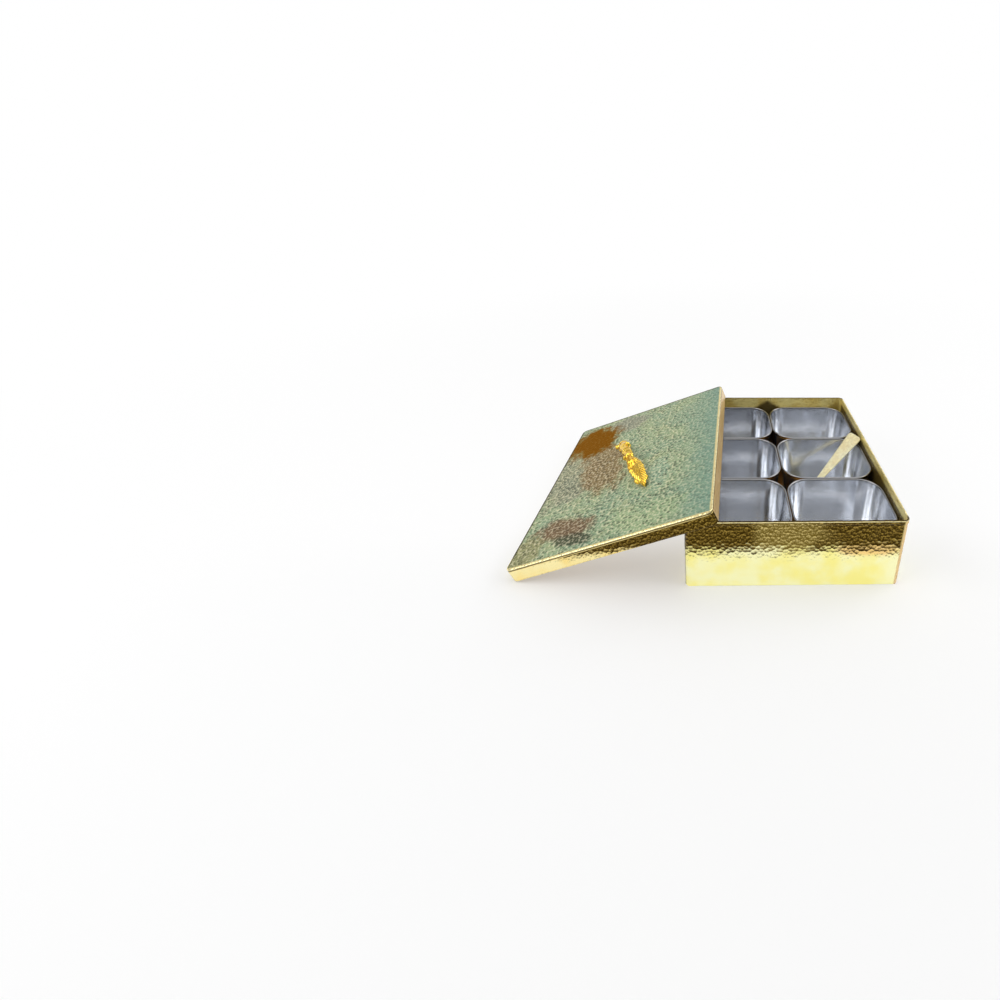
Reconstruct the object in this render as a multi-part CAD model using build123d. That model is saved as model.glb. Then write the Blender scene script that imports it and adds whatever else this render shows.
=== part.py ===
from build123d import *
import os
from math import asin, atan, atan2, cos, degrees, pi, radians, sin, sqrt, tan

# Nut box: a brass box with six loose steel bowls, a spoon,
# and a lid that leans on the box's front and left rims.
# Sizes are in millimetres. The origin is the middle of the box's underside,
# +X to the right, +Y to the back.

# Box
box_width = 203.0
box_depth = 254.0
box_height = 76.0
box_sheet = 1.2
box_corner = 5.0
box_foot_bevel = 0.6
hem_height = 4.0
hem_proud = 0.6
hem_bevel = 0.4
floor_sheet = 1.2

# Bowls
bowl_columns = 2
bowl_rows = 3
bowl_gap = 0.8
bowl_height = 61.4
bowl_sheet = 0.8
bowl_corner = 24.0
bowl_bottom_round = 9.0
bowl_taper_in = 3.0
rim_width = 1.8
rim_height = 1.6

# Lid
lid_clearance = 1.5
lid_depth = 15.0
lid_sheet = 1.2
plate_sheet = 1.2
lid_corner = 6.0
lid_edge_round = 0.9

# How the lid leans: its near left corner on the table, its right side on the box's front rim,
# and its top sheet on the far end of the left rim
lean_reach = 163.7
lean_offset = 6.5
lean_turn = -3.19
lean_gap = 0.55

# Handle, a cast twig that ends in a leaf
handle_turn = 24.8
handle_arch = 22.0
far_foot_reach = 44.0
near_foot_reach = 47.0
foot_radius = 8.4
foot_bevel = 1.6
foot_height = 4.0
twig_radius = 5.2
twig_root = 2.0
twig_cut = 4.0
knot_radius = 6.3
knot_length = 9.0
leaf_reach = 47.0
leaf_length = 42.0
leaf_width = 18.0
leaf_thickness = 4.4
leaf_bend = 42.0
leaf_tilt = 8.0
leaf_rise = 10.8
stub_radius = 3.6
stub_length = 10.0

# Handle screws and washers
screw_radius = 2.0
screw_clearance = 0.1
screw_grip = 7.0
screw_head_radius = 3.6
screw_head_height = 2.4
screw_slot_width = 1.0
screw_slot_depth = 1.1
washer_radius = 5.0
washer_sheet = 0.8

# Spoon
spoon_length = 105.0
spoon_sheet = 1.3
spoon_end_width = 19.5
spoon_end_round = 4.0
spoon_neck_width = 5.0
scoop_size = 26.0
scoop_dip = 4.5
spoon_heading = 29.5
spoon_tip_x = -23.4
spoon_tip_y = -5.5
spoon_gap = 0.3

# Sizes that follow from the ones above
inner_width = box_width - 2 * box_sheet
inner_depth = box_depth - 2 * box_sheet
bowl_width = (inner_width - (bowl_columns + 1) * bowl_gap) / bowl_columns
bowl_depth = (inner_depth - (bowl_rows + 1) * bowl_gap) / bowl_rows
bowl_round = min(bowl_corner, 0.46 * min(bowl_width, bowl_depth))
lid_over = hem_proud + lid_clearance + lid_sheet
lid_width = box_width + 2 * lid_over
lid_length = box_depth + 2 * lid_over


def rounded_slab(width, depth, corner, height):
    """A flat block with rounded upright edges, standing on z = 0"""
    return extrude(RectangleRounded(width, depth, corner), height)


def pillar(bottom, top, height):
    """A round post that stands on z = 0, from one radius to another"""
    if bottom == top:
        return Cylinder(bottom, height, align=(Align.CENTER, Align.CENTER, Align.MIN))
    return Cone(bottom, top, height, align=(Align.CENTER, Align.CENTER, Align.MIN))


def edges_at(solid, height):
    """The edges that lie flat at one height"""
    return solid.edges().filter_by_position(Axis.Z, height - 0.001, height + 0.001)


# Box


def box_wall():
    """The upright band, with its sheet folded back on the outside to make the hem"""
    band = rounded_slab(box_width, box_depth, box_corner, box_height)
    band = chamfer(edges_at(band, 0), box_foot_bevel)
    hem_corner = box_corner + hem_proud
    hem = rounded_slab(box_width + 2 * hem_proud, box_depth + 2 * hem_proud, hem_corner, hem_height)
    hem = Pos(0, 0, box_height - hem_height) * chamfer(edges_at(hem, hem_height), hem_bevel)
    hollow = rounded_slab(inner_width, inner_depth, box_corner - box_sheet, box_height)
    return band + hem - hollow


def box_floor():
    """The flat sheet inside the foot of the band"""
    return rounded_slab(inner_width, inner_depth, box_corner - box_sheet, floor_sheet)


# Bowls


def bowl_plug(shrink):
    """A solid block of the bowl's tapered shape, smaller all round by shrink"""
    inset = rim_width - bowl_sheet + bowl_taper_in + shrink
    foot = RectangleRounded(bowl_width - 2 * inset, bowl_depth - 2 * inset, bowl_round - inset)
    return extrude(foot, bowl_height, taper=-degrees(atan(bowl_taper_in / bowl_height)))


def bowl():
    """One pressed bowl, standing on z = 0: tapered wall, bottom rounded in bevels, turned-out rim"""
    bevel = 2 - sqrt(2)
    inner_bevel = bevel * (bowl_bottom_round - bowl_sheet)
    inside = chamfer(edges_at(bowl_plug(bowl_sheet), 0), inner_bevel)
    inside = chamfer(edges_at(inside, 0), inner_bevel * tan(pi / 8) / 2)
    outside = chamfer(edges_at(bowl_plug(0), 0), bevel * bowl_bottom_round)
    rim = rounded_slab(bowl_width, bowl_depth, bowl_round, rim_height)
    outside += Pos(0, 0, bowl_height - rim_height) * rim
    return outside - Pos(0, 0, bowl_sheet) * inside


def bowl_centre(column, row):
    """Where a bowl stands on the box's floor, counted from the left and from the front"""
    x = (column - (bowl_columns - 1) / 2) * (bowl_width + bowl_gap)
    y = (row - (bowl_rows - 1) / 2) * (bowl_depth + bowl_gap)
    return Vector(x, y, floor_sheet)


# Lid, built level with the middle of its open side at the origin


def lid_inside(height):
    """A block that fills the lid's band from side to side"""
    both_sheets = 2 * lid_sheet
    corner = lid_corner - lid_sheet
    return rounded_slab(lid_width - both_sheets, lid_length - both_sheets, corner, height)


def lid_skirt():
    """The band round the lid, open below and above"""
    band = rounded_slab(lid_width, lid_length, lid_corner, lid_depth)
    band = fillet(edges_at(band, lid_depth), lid_edge_round)
    return band - lid_inside(lid_depth)


def lid_plate():
    """The top sheet, flush with the band's upper edge, with a hole for each handle screw"""
    plate = Pos(0, 0, lid_depth - plate_sheet) * lid_inside(plate_sheet)
    for foot in handle_feet():
        plate -= foot * Cylinder(screw_radius + screw_clearance, 4 * plate_sheet)
    return plate


def handle_frame():
    """The handle's own frame on the lid: +Y along the twig towards the back, z = 0 on the top sheet"""
    return Pos(0, 0, lid_depth) * Rot(0, 0, handle_turn)


def handle_feet():
    """Where the twig's two feet stand on the top sheet"""
    return [handle_frame() * Pos(0, far_foot_reach, 0), handle_frame() * Pos(0, -near_foot_reach, 0)]


def twig_ring():
    """Radius of the circle that the twig's middle line follows, from foot to foot"""
    reach = (far_foot_reach + near_foot_reach) / 2
    rise = handle_arch - twig_radius - twig_root
    return (reach**2 + rise**2) / (2 * rise)


def twig_point(share):
    """A point of the twig's middle line: share runs from -1 at the near foot to 1 at the far one"""
    ring = twig_ring()
    turn = share * asin((far_foot_reach + near_foot_reach) / 2 / ring)
    middle = (far_foot_reach - near_foot_reach) / 2
    return Vector(0, middle + ring * sin(turn), handle_arch - twig_radius - ring * (1 - cos(turn)))


def twig():
    """The arched stem, cut off square beyond both feet, with its thickened knots"""
    ring = twig_ring()
    hub = twig_point(0) - Vector(0, 0, ring)
    span = far_foot_reach + near_foot_reach + 2 * twig_cut
    space = Box(4 * twig_radius, span, handle_arch + 1, align=(Align.CENTER, Align.CENTER, Align.MIN))
    stem = (Pos(hub) * Rot(0, 90, 0) * Torus(ring, twig_radius)) & (Pos(0, hub.Y, 0) * space)
    for share in (0.6, -0.05, -0.55):
        along = Plane(origin=twig_point(share), z_dir=twig_point(share + 0.01) - twig_point(share))
        half = pillar(knot_radius, knot_radius - 2, knot_length / 2)
        stem += along * (half + Rot(180, 0, 0) * half)
    return stem


def leaf():
    """The leaf over the near foot: two arcs make its outline, two balls its bent upper and lower side"""
    half_width = leaf_width / 2
    side = ((leaf_length / 2) ** 2 + half_width**2) / leaf_width
    deep = 4 * leaf_thickness
    arc = Cylinder(side, deep)
    outline = Pos(side - half_width, 0, 0) * arc & Pos(half_width - side, 0, 0) * arc
    upper = Pos(0, 0, -leaf_bend) * Sphere(leaf_bend)
    lower = Pos(0, 0, -leaf_thickness - 2 * leaf_bend) * Sphere(2 * leaf_bend)
    return Pos(0, -leaf_reach, leaf_rise) * Rot(leaf_tilt, 0, 0) * (outline & upper - lower)


def stub(share, lean_to, rise, length):
    """A cut side shoot: share is its place on the twig, lean_to the side that it points to"""
    way = Vector(lean_to, 0.35, rise).normalized()
    shoot = pillar(stub_radius, stub_radius * 0.8, length)
    return Plane(origin=twig_point(share), z_dir=way) * shoot


def lid_handle():
    """The whole casting: twig, leaf, side shoots and two feet, bored from below for the screws"""
    body = twig() + leaf()
    body += stub(0.86, -1.0, 0.15, stub_length + twig_radius)
    body += stub(0.2, 1.0, 0.5, 0.8 * stub_length)
    body += stub(-0.35, -1.0, 0.3, 0.8 * stub_length)
    for foot_y in (far_foot_reach, -near_foot_reach):
        body += Pos(0, foot_y, 0) * pillar(foot_radius, foot_radius - foot_bevel, foot_height)
        bore = screw_radius + screw_clearance
        body -= Pos(0, foot_y, 0) * pillar(bore, bore, screw_grip)
    return handle_frame() * body


def handle_screw():
    """A slotted screw, head down, with z = 0 on the top sheet's upper face"""
    under = -plate_sheet - washer_sheet
    shank_length = screw_grip - screw_clearance - under
    shank = Pos(0, 0, under) * pillar(screw_radius, screw_radius, shank_length)
    head = pillar(screw_head_radius, screw_head_radius, screw_head_height)
    head -= Box(screw_slot_width, 3 * screw_head_radius, 2 * screw_slot_depth)
    return shank + Pos(0, 0, under - screw_head_height) * head


def handle_washer():
    """A flat washer between the top sheet's underside and a screw's head"""
    ring = Cylinder(washer_radius, washer_sheet) - Cylinder(screw_radius + screw_clearance, washer_sheet)
    return Pos(0, 0, -plate_sheet - washer_sheet / 2) * ring


def lean_axes(slope_x, slope_y):
    """Unit vectors along the leaning lid's width and straight out of its top"""
    turn = radians(lean_turn)
    across = Vector(cos(turn), sin(turn), slope_x * cos(turn) + slope_y * sin(turn)).normalized()
    outward = Vector(-slope_x, -slope_y, 1).normalized()
    return across, outward


def lean_slopes():
    """How steeply the lid's open side rises along +X and +Y, from its three points of contact"""
    rim = box_height + lean_gap
    span_x = lean_reach - hem_proud
    span_y = box_depth - box_corner - lean_offset
    slope_x = rim / lid_width
    slope_y = 0.0
    for step in range(30):
        across, outward = lean_axes(slope_x, slope_y)
        along = outward.cross(across)
        right = across * (lid_width - lid_sheet)
        front = right - along * ((right.Y + lean_offset) / along.Y)
        under_plate = rim - (lid_depth - plate_sheet) / outward.Z
        spread = front.X * span_y - front.Y * span_x
        slope_x = (rim * span_y - front.Y * under_plate) / spread
        slope_y = (front.X * under_plate - rim * span_x) / spread
    return slope_x, slope_y


def lid_place():
    """Carries the level lid to where it leans, with its rounded corner just on the table"""
    across, outward = lean_axes(*lean_slopes())
    rise_across = across.Z
    rise_along = outward.cross(across).Z
    corner_lift = lid_corner * (rise_across + rise_along - sqrt(rise_across**2 + rise_along**2))
    corner = Vector(-box_width / 2 - lean_reach, -box_depth / 2 + lean_offset, -corner_lift)
    at_corner = Plane(origin=corner, x_dir=across, z_dir=outward).location
    return at_corner * Pos(lid_width / 2, lid_length / 2, 0)


# Spoon, built along +X with the tip of its scoop at the origin and its underside on z = 0


def spoon_form():
    """A shallow round scoop and a flat handle that widens to a blunt end"""
    half = scoop_size / 2
    ball = (half**2 + scoop_dip**2) / (2 * scoop_dip)
    scoop = Sphere(ball) - Sphere(ball - spoon_sheet)
    scoop = split(Pos(half, 0, ball - scoop_dip) * scoop, Plane.XY, keep=Keep.BOTTOM)
    neck = scoop_size - spoon_sheet
    outline = make_face(
        Polyline(
            (neck, -spoon_neck_width / 2),
            (spoon_length, -spoon_end_width / 2),
            (spoon_length, spoon_end_width / 2),
            (neck, spoon_neck_width / 2),
            close=True,
        )
    )
    outline = fillet(outline.vertices().group_by(Axis.X)[-1], spoon_end_round)
    return scoop + extrude(outline, spoon_sheet)


def reach_to_rim(aside):
    """How far it is from the tip to the bowl's rim, level, along a line beside the handle's middle"""
    heading = radians(spoon_heading)
    inner = bowl_round - rim_width
    from_corner_x = spoon_tip_x - aside * sin(heading) - (bowl_width / 2 - bowl_round)
    from_corner_y = spoon_tip_y + aside * cos(heading) - (bowl_depth / 2 - bowl_round)
    along = from_corner_x * cos(heading) + from_corner_y * sin(heading)
    return -along + sqrt(along**2 - from_corner_x**2 - from_corner_y**2 + inner**2)


def spoon():
    """The spoon in the middle right-hand bowl: tip on the bottom, handle over the rim's back corner"""
    reach = min(reach_to_rim(-spoon_end_width / 2), reach_to_rim(0), reach_to_rim(spoon_end_width / 2))
    lean = degrees(atan2(bowl_height - bowl_sheet, reach))
    bowl_at = bowl_centre(1, 1)
    tip = Pos(bowl_at.X + spoon_tip_x, bowl_at.Y + spoon_tip_y, bowl_at.Z + bowl_sheet + spoon_gap)
    return tip * Rot(0, 0, spoon_heading) * Rot(0, -lean, 0) * spoon_form()


# All pieces, by the names that they are kept under


def pieces():
    lid = lid_place()
    made = {
        "box_wall": box_wall(),
        "box_floor": box_floor(),
        "lid_skirt": lid * lid_skirt(),
        "lid_plate": lid * lid_plate(),
        "lid_handle": lid * lid_handle(),
        "handle_screws": Compound([lid * foot * handle_screw() for foot in handle_feet()]),
        "handle_washers": Compound([lid * foot * handle_washer() for foot in handle_feet()]),
        "spoon": spoon(),
    }
    one_bowl = bowl()
    for row, row_name in enumerate(("front", "mid", "back")):
        for column, column_name in enumerate(("left", "right")):
            made[f"bowl_{row_name}_{column_name}"] = Location(bowl_centre(column, row)) * one_bowl
    return made


os.makedirs("parts", exist_ok=True)
for name, shape in pieces().items():
    export_step(shape, f"parts/{name}.step")
print("lid slopes in degrees", [round(degrees(atan(slope)), 3) for slope in lean_slopes()])
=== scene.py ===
# %% [markdown]
# # A nut box with its lid leaning on it
# The construction gives the frame: fourteen pieces at their true size, with the joints that let
# the lid, the bowls and the spoon be taken off.
# This lesson dresses that frame as the real thing: hammered brass, a lid with a turquoise patina
# and polished steel bowls.
# Everything is in metres. Sizes that are easier to read in millimetres are multiplied by `MM`.

# %% Loading the frame
from math import atan2, cos, degrees, hypot, pi, radians, sin, sqrt

import bmesh
import bpy
from mathutils import Matrix, Vector, noise


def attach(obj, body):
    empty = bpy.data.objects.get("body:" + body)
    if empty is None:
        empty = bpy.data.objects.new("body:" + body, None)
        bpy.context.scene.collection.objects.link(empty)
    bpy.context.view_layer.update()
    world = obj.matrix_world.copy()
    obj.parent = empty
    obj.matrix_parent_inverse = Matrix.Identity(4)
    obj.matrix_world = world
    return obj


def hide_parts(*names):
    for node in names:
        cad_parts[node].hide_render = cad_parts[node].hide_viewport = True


MM = 0.001
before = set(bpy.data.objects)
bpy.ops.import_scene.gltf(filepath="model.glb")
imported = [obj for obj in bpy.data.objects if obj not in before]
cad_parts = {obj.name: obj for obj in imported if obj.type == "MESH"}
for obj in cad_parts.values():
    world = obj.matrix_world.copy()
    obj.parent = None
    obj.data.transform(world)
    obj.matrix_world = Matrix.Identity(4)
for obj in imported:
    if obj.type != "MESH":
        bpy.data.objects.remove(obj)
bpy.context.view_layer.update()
print("pieces in the frame:", sorted(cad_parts))

# %% [markdown]
# ## The camera
# The photograph was taken with a wide lens from close by, about half a metre from the box and a
# little to its left.
# The camera looked down by 24 degrees and almost straight along the box, and the picture was cut
# so that the box ended up right of the middle and a little below it.
# That is what the two shift values do: they slide the picture without turning the camera.

# %% Placing the camera
camera_data = bpy.data.cameras.new("camera")
camera_data.sensor_width = 36.0
camera_data.lens = 17.791
camera_data.shift_x = -0.2234
camera_data.shift_y = -0.11729
camera_data.clip_start = 0.01
camera_data.clip_end = 50.0
look_down, roll, turn_left = 0.41768, -0.01174, -0.02393
camera = bpy.data.objects.new("camera", camera_data)
camera.location = Vector((-77.973, -476.207, 365.797)) * MM
camera.rotation_euler = (pi / 2 - look_down, roll, turn_left)
bpy.context.scene.collection.objects.link(camera)
bpy.context.scene.camera = camera
print("camera looks down by", round(degrees(look_down), 1), "degrees")

# %% [markdown]
# ## Helpers
# Every piece needs an object round its mesh, and every material a tree of nodes.
# Trees are hard to read when each node and link takes a line, so a node's output is wrapped in a
# small class that can be added, multiplied and stepped like a number, and a material reads like
# a formula.

# %% Helpers for meshes and objects
def new_object(name, data):
    """Puts a mesh or a lamp into the scene as an object that sits at the origin"""
    item = bpy.data.objects.new(name, data)
    bpy.context.scene.collection.objects.link(item)
    return item


def sew(bm, low, high, closed=False):
    """Joins two rows of points with faces, all the way round if closed"""
    for i in range(len(low) if closed else len(low) - 1):
        j = (i + 1) % len(low)
        bm.faces.new((low[i], low[j], high[j], high[i]))


def mesh_of(bm, name):
    """Ends the work on a skin: smooth faces, all looking outwards, as a mesh"""
    for face in bm.faces:
        face.smooth = True
    bmesh.ops.recalc_face_normals(bm, faces=bm.faces)
    mesh = bpy.data.meshes.new(name)
    bm.to_mesh(mesh)
    bm.free()
    return mesh


print("mesh helpers ready")


# %% A node's output as a number
class Sock:
    """One output of a shader node, which can be added, multiplied and so on"""

    def __init__(self, tree, output):
        self.tree = tree
        self.output = output

    def _math(self, operation, *values):
        node = self.tree.nodes.new("ShaderNodeMath")
        node.operation = operation
        for slot, value in zip(node.inputs, values):
            connect(self.tree, value, slot)
        return Sock(self.tree, node.outputs[0])

    def __add__(self, other):
        return self._math("ADD", self, other)

    def __radd__(self, other):
        return self._math("ADD", other, self)

    def __sub__(self, other):
        return self._math("SUBTRACT", self, other)

    def __rsub__(self, other):
        return self._math("SUBTRACT", other, self)

    def __mul__(self, other):
        return self._math("MULTIPLY", self, other)

    def __truediv__(self, other):
        return self._math("DIVIDE", self, other)

    def __abs__(self):
        return self._math("ABSOLUTE", self)

    def power(self, other):
        return self._math("POWER", self, other)

    def larger(self, other):
        return self._math("MAXIMUM", self, other)

    def clamp(self):
        return self._math("MINIMUM", self.larger(0.0), 1.0)

    def step(self, low, high):
        """Runs smoothly from 0 at low to 1 at high"""
        node = self.tree.nodes.new("ShaderNodeMapRange")
        node.interpolation_type = "SMOOTHSTEP"
        connect(self.tree, self, node.inputs["Value"])
        connect(self.tree, low, node.inputs["From Min"])
        connect(self.tree, high, node.inputs["From Max"])
        return Sock(self.tree, node.outputs["Result"])

    def within(self, start, end, fade_in, fade_out):
        """1 from start to end and 0 elsewhere, with a soft step at each"""
        return self.step(start, start + fade_in) * (1.0 - self.step(end, end + fade_out))


# %% Links and colours
GAMMA = 2.2


def connect(tree, value, slot):
    """Feeds a socket with another node's output or with a plain value"""
    if isinstance(value, Sock):
        tree.links.new(value.output, slot)
    elif value is not None:
        slot.default_value = value


def colour(value):
    """Lets a colour be written as three numbers from 0 to 255, as a picture shows it"""
    if isinstance(value, tuple) and len(value) == 3:
        return tuple((c / 255) ** GAMMA for c in value) + (1.0,)
    return value


print("mid grey is", round(colour((128, 128, 128))[0], 3), "in light")


# %% A material as a row of formulas
class Shader:
    """A material, or a world, under construction"""

    def __init__(self, name, owners=bpy.data.materials, ending="OutputMaterial"):
        self.owner = owners.new(name)
        self.owner.use_nodes = True
        self.tree = self.owner.node_tree
        self.tree.nodes.clear()
        self.out = self.tree.nodes.new("ShaderNode" + ending)

    def node(self, kind, output=0, settings=None, **inputs):
        """Adds any node, sets its options and inputs, and gives back one output"""
        node = self.tree.nodes.new("ShaderNode" + kind)
        for key, value in (settings or {}).items():
            setattr(node, key, value)
        for key, value in inputs.items():
            connect(self.tree, value, node.inputs[key.replace("_", " ")])
        return Sock(self.tree, node.outputs[output])

    def place(self, kind="UV"):
        """Where on the piece a point is: its UV place or its place in the piece's own frame"""
        return self.node("TexCoord", kind)

    def axis(self, where, number):
        """One coordinate of a place: 0, 1 or 2"""
        return self.node("SeparateXYZ", number, Vector=where)

    def ray(self, kind):
        """1 where the light path is of a kind, such as what the camera sees"""
        return self.node("LightPath", f"Is {kind} Ray")

    def vector_math(self, operation, *values, output="Vector"):
        """A vector or a value worked out from vectors, each an output or three plain numbers"""
        node = self.tree.nodes.new("ShaderNodeVectorMath")
        node.operation = operation
        for slot, value in zip(node.inputs, values):
            connect(self.tree, value, slot)
        return Sock(self.tree, node.outputs[output])

    def noise(self, where, scale, detail=2.0, roughness=0.5):
        return self.node("TexNoise", "Fac", Vector=where, Scale=scale, Detail=detail,
                         Roughness=roughness)

    def mix(self, share, first, second):
        """Blends two colours"""
        node = self.tree.nodes.new("ShaderNodeMix")
        node.data_type = "RGBA"
        connect(self.tree, share, node.inputs[0])
        connect(self.tree, colour(first), node.inputs[6])
        connect(self.tree, colour(second), node.inputs[7])
        return Sock(self.tree, node.outputs[2])

    def bump(self, height, depth, under=None):
        return self.node("Bump", Height=height, Distance=depth, Strength=1.0, Normal=under)

    def end(self, shader):
        """Makes a shader the surface, and gives back the material"""
        connect(self.tree, shader, self.out.inputs["Surface"])
        return self.owner

    def finish(self, **inputs):
        """Ends in one Principled shader"""
        return self.end(self.node("BsdfPrincipled", **inputs))


print("shader helpers ready")

# %% [markdown]
# ## Floor and backdrop
# The photo was cut out and set on white, with a soft grey shadow left in front of the object.
# The floor is one pale sheet that bends up into the backdrop, so no horizon shows.
# Both show the camera a share of plain white, and the rest is real light, which keeps the shadow.
# The share grows away from the object and behind its near side, where the photo is white.

# %% Floor and backdrop
WHITE = (1.0, 1.0, 1.0, 1.0)
SHARE_FROM, SHARE_TO = 0.3, 1.3
BEHIND_FROM, BEHIND_TO, BEHIND_SHARE = -0.14, -0.02, 0.72


def studio_white(name, base, near, far):
    """A pale matt surface with a share of plain white: near by the object, far away from it"""
    shader = Shader(name)
    at = shader.place("Object")
    mirrored = (shader.ray("Glossy") + shader.ray("Transmission")).clamp()
    away = shader.vector_math("LENGTH", at, output="Value")
    share = away.step(SHARE_FROM, SHARE_TO) * (far - near) + near
    behind = shader.axis(at, 1).step(BEHIND_FROM, BEHIND_TO)
    share = share + (1.0 - share) * behind * BEHIND_SHARE
    matt = shader.node("BsdfDiffuse", Color=(base, base, base, 1.0))
    glow = shader.node("Emission", Color=WHITE, Strength=1.0)
    white_share = (shader.ray("Camera") * share + mirrored * (share * 0.5 + 0.5)).clamp()
    both = shader.node("MixShader")
    for slot, value in zip(both.output.node.inputs, (white_share, matt, glow)):
        connect(shader.tree, value, slot)
    return shader.end(both)


def sweep_sheet(name, line, half_width, material):
    """A sheet that follows a line in Y and Z and is 2 * half_width wide in X"""
    bm = bmesh.new()
    rows = [[bm.verts.new((x, y, z)) for x in (-half_width, half_width)] for y, z in line]
    for low, high in zip(rows, rows[1:]):
        sew(bm, low, high)
    sheet = new_object(name, mesh_of(bm, name))
    sheet.data.materials.append(material)


half_width, flat_from, flat_to, bend_radius, backdrop_top = 7.0, -3.0, 2.4, 0.8, 2.0
bend = [(flat_to + bend_radius * sin(radians(a)), bend_radius - bend_radius * cos(radians(a)))
        for a in range(0, 91, 6)]
floor_white = studio_white("floor_white", 0.94, 0.28, 1.0)
backdrop_white = studio_white("backdrop_white", 0.88, 1.0, 1.0)
sweep_sheet("floor", [(flat_from, 0.0), (flat_to, 0.0)], half_width, floor_white)
sweep_sheet("backdrop", bend + [(flat_to + bend_radius, backdrop_top)], half_width, backdrop_white)
print("floor and backdrop meet", flat_to, "m behind the object")

# %% [markdown]
# ## World and lamps
# Polished metal is as good as invisible without something to mirror.
# So the world is plain white to the camera and grey to everything else, with two round white
# panels that only mirrors see, one on each side.
# Three large soft lamps give the shadow its edge, and two of them stand where the bowls' round
# corners mirror them as bright bands.

# %% World
sky = Shader("studio", bpy.data.worlds, "OutputWorld")
sky_way = sky.place("Generated")


def white_panel(azimuth, elevation, radius, fade=5):
    """1 in a round part of the sky and 0 outside it; all angles are in degrees"""
    turn, level_share = radians(azimuth), cos(radians(elevation))
    middle = (level_share * cos(turn), level_share * sin(turn), sin(radians(elevation)))
    near = sky.vector_math("DOT_PRODUCT", sky_way, middle, output="Value")
    return near.step(cos(radians(radius + fade)), cos(radians(radius - fade)))


grey = sky.axis(sky_way, 2).step(-0.1, 0.9) * 0.1 + 0.42
panels = white_panel(12, 40, 38) + white_panel(-141, 37, 28)
white = (panels * sky.ray("Glossy") + sky.ray("Camera")).clamp()
level = grey + white * (1.0 - grey)
bpy.context.scene.world = sky.end(sky.node("Background", Color=WHITE, Strength=level))
print("world ready, with", len(sky.tree.nodes), "nodes")


# %% Lamps
def soft_lamp(name, place, target, size, power):
    """A large rectangular lamp aimed at a point"""
    data = bpy.data.lights.new(name, "AREA")
    data.shape = "RECTANGLE"
    data.size, data.size_y = size
    data.energy = power
    lamp = new_object(name, data)
    lamp.location = place
    way = Vector(target) - Vector(place)
    lamp.rotation_euler = way.to_track_quat("-Z", "Y").to_euler()


soft_lamp("lamp_left", (-1.42, -0.5, 1.16), (0, 0, 0.05), (1.3, 0.9), 11.0)
soft_lamp("lamp_right", (1.45, 0.12, 1.16), (0, 0, 0.05), (1.7, 1.0), 13.0)
soft_lamp("lamp_top", (0.0, 0.2, 1.9), (0, 0, 0), (1.6, 1.4), 6.5)
bpy.context.scene.view_settings.view_transform = "Standard"
print("three lamps placed")

# %% [markdown]
# ## Bending sheet round a rounded outline
# The box wall, the lid's band and the bowls are all sheet that runs round a rectangle with rounded
# corners.
# So one function makes the outline, with the way outwards at each point, and another carries a
# cross-section round it.
# Each point also gets a UV place in millimetres, so hammer marks are as large on every piece.

# %% Outline
def outline(width, depth, corner, arc_steps, spacing):
    """Points of a rounded rectangle, each with its way outwards and its distance along the edge"""
    stops = []
    middles = [(width / 2 - corner, depth / 2 - corner), (corner - width / 2, depth / 2 - corner),
               (corner - width / 2, corner - depth / 2), (width / 2 - corner, corner - depth / 2)]
    for quarter, (mx, my) in enumerate(middles):
        for step in range(arc_steps + 1):
            turn = (quarter + step / arc_steps) * pi / 2
            way = (cos(turn), sin(turn))
            stops.append(((mx + corner * way[0], my + corner * way[1]), way))
    ring = []
    run = 0.0
    for (here, way), (there, next_way) in zip(stops, stops[1:] + stops[:1]):
        gap = hypot(there[0] - here[0], there[1] - here[1])
        parts = max(1, round(gap / spacing))
        for part in range(parts):
            share = part / parts
            point = (here[0] + (there[0] - here[0]) * share, here[1] + (there[1] - here[1]) * share)
            turned = (way[0] + (next_way[0] - way[0]) * share, way[1] + (next_way[1] - way[1]) * share)
            ring.append((point, turned, run + gap * share))
        run += gap
    return ring, run


print("points round a square of 50 mm:", len(outline(50, 50, 5, 8, 2)[0]))


# %% Carrying a cross-section
def carry(name, ring, profile, close=False, cap_start=0, cap_end=0, dent=None):
    """Carries a cross-section of (outward, up) pairs round an outline

    close joins its last point to its first. cap_start and cap_end are the numbers of rings that
    close its ends instead, and dent pushes points in or out a little.
    """
    stops, length = ring
    rows = len(profile)
    count = len(stops)
    run = [0.0]
    for (a, b), (c, d) in zip(profile, profile[1:]):
        run.append(run[-1] + hypot(c - a, d - b))
    points = []
    for out, up in profile:
        for (x, y), (wx, wy), along in stops:
            push = out + (dent(along, up) if dent else 0.0)
            points.append((x + wx * push, y + wy * push, up))
    bm = bmesh.new()
    verts = [bm.verts.new(p) for p in points]
    uv = bm.loops.layers.uv.new("UVMap")
    turns = rows if close else rows - 1
    for row in range(turns):
        below, above = row * count, ((row + 1) % rows) * count
        v0, v1 = run[row], run[row + 1] if row + 1 < rows else run[row] + 1.0
        for i in range(count):
            j = (i + 1) % count
            face = bm.faces.new([verts[k] for k in (below + i, below + j, above + j, above + i)])
            u0 = stops[i][2]
            u1 = stops[j][2] if j else length
            for loop, place in zip(face.loops, ((u0, v0), (u1, v0), (u1, v1), (u0, v1))):
                loop[uv].uv = place
    for row, rings in ((0, cap_start), (rows - 1, cap_end)):
        if rings:
            fill_end(bm, uv, verts[row * count:(row + 1) * count], rings)
    return mesh_of(bm, name)


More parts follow.
